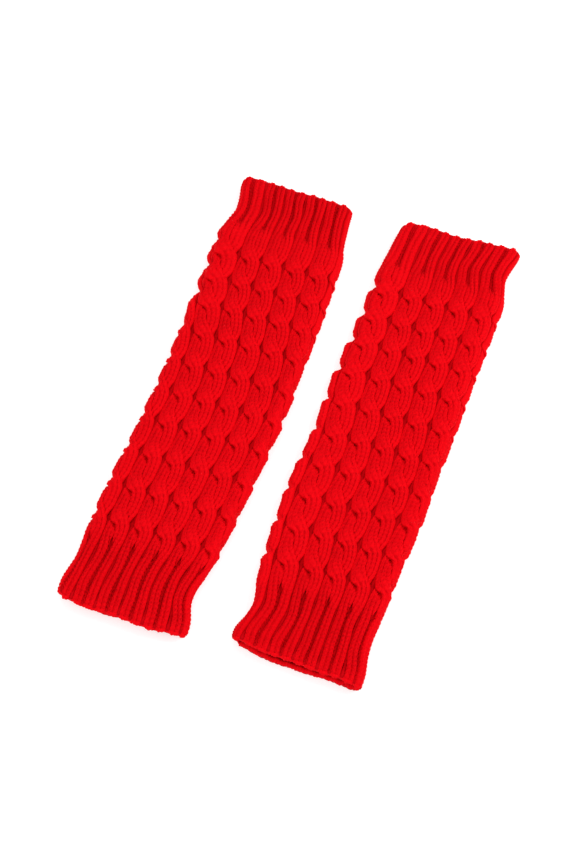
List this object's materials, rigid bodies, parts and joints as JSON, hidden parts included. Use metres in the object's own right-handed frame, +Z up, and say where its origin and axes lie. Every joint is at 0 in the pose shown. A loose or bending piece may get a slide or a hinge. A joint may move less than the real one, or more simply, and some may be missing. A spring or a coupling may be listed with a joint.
{
  "type": "pair of leg warmers",
  "caption": "Pair of knitted tubes that warm the lower legs, laid flat side by side, with rope cables down the leg and a ribbed cuff at each end.",
  "frame": {"origin": "bottom centre of the pair's bounding box, on the surface that they lie on", "axes": "+Y along the tubes towards the upper cuffs, +X across the pair from the left one to the right one, +Z up"},
  "size_m": [0.2344, 0.4014, 0.0152],
  "materials": {
    "yarn": "bright red knitted acrylic yarn, dull and slightly fuzzy"
  },
  "bodies": {
    "root": {"left_upper_cuff": "yarn", "left_leg": "yarn", "left_lower_cuff": "yarn", "right_upper_cuff": "yarn", "right_leg": "yarn", "right_lower_cuff": "yarn"}
  },
  "joints": []
}
